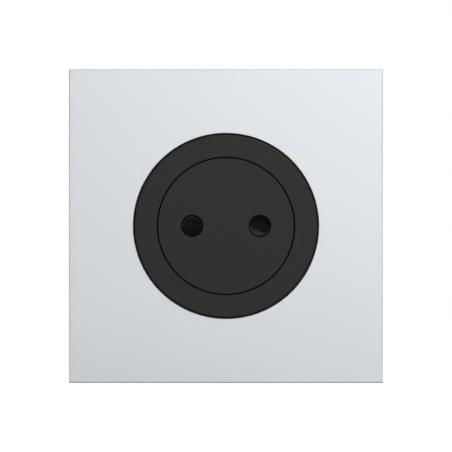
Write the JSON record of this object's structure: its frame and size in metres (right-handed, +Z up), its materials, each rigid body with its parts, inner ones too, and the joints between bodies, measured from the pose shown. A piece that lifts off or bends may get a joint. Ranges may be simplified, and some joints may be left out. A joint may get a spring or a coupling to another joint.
{
  "type": "wall socket",
  "caption": "Flush two-pole wall socket: square aluminium plate, black ring and a sprung round face with shuttered pin holes that a plug pushes back into its well.",
  "frame": {"origin": "middle of the wall-box screw slots, on the wall's face at the back of the steel frame", "axes": "+X to the right seen from the front, +Y into the wall, +Z up; the face looks along -Y"},
  "size_m": [0.088, 0.0415, 0.088],
  "materials": {
    "anodised_aluminium": "satin anodised",
    "black_front": "fine matte",
    "black_carrier": "moulded matte",
    "black_housing": "moulded satin",
    "black_shutter": "moulded satin",
    "grey_block": "moulded thermoset",
    "zinc_plated_steel": "zinc plated",
    "plated_screws": "zinc plated",
    "spring_steel": "drawn wire",
    "brass": "stamped"
  },
  "bodies": {
    "socket": {"cover_plate": "anodised_aluminium", "plate_carrier": "black_carrier", "stud_washers": "spring_steel", "support_frame": "zinc_plated_steel", "frame_screws": "plated_screws", "trim_ring": "black_front", "well_housing": "black_housing", "return_spring_upper": "spring_steel", "return_spring_lower": "spring_steel", "base_block": "grey_block", "contact_left": "brass", "contact_right": "brass", "contact_clip_left": "spring_steel", "contact_clip_right": "spring_steel", "terminal_left": "brass", "terminal_right": "brass", "terminal_screws_left": "plated_screws", "terminal_screws_right": "plated_screws", "rear_cover": "grey_block", "body_screws": "plated_screws"},
    "face": {"face_disc": "black_front", "shutter_cover": "black_housing", "shutter_screws": "plated_screws", "shutter_spring": "spring_steel"},
    "shutter": {"shutter": "black_shutter"}
  },
  "joints": [
    {"name": "face_push", "type": "slide", "parent": "socket", "child": "face", "axis": [0, 1, 0], "range_m": [0, 0.0165], "stiffness_N_per_m": 350, "springref_m": -0.008, "deforming": ["return_spring_upper", "return_spring_lower"]},
    {"name": "shutter_turn", "type": "hinge", "parent": "face", "child": "shutter", "pos_m": [0, 0, 0], "axis": [0, 1, 0], "range_deg": [0, 38], "stiffness_Nm_per_rad": 0.002, "springref_deg": -20.05, "deforming": ["shutter_spring"]}
  ]
}
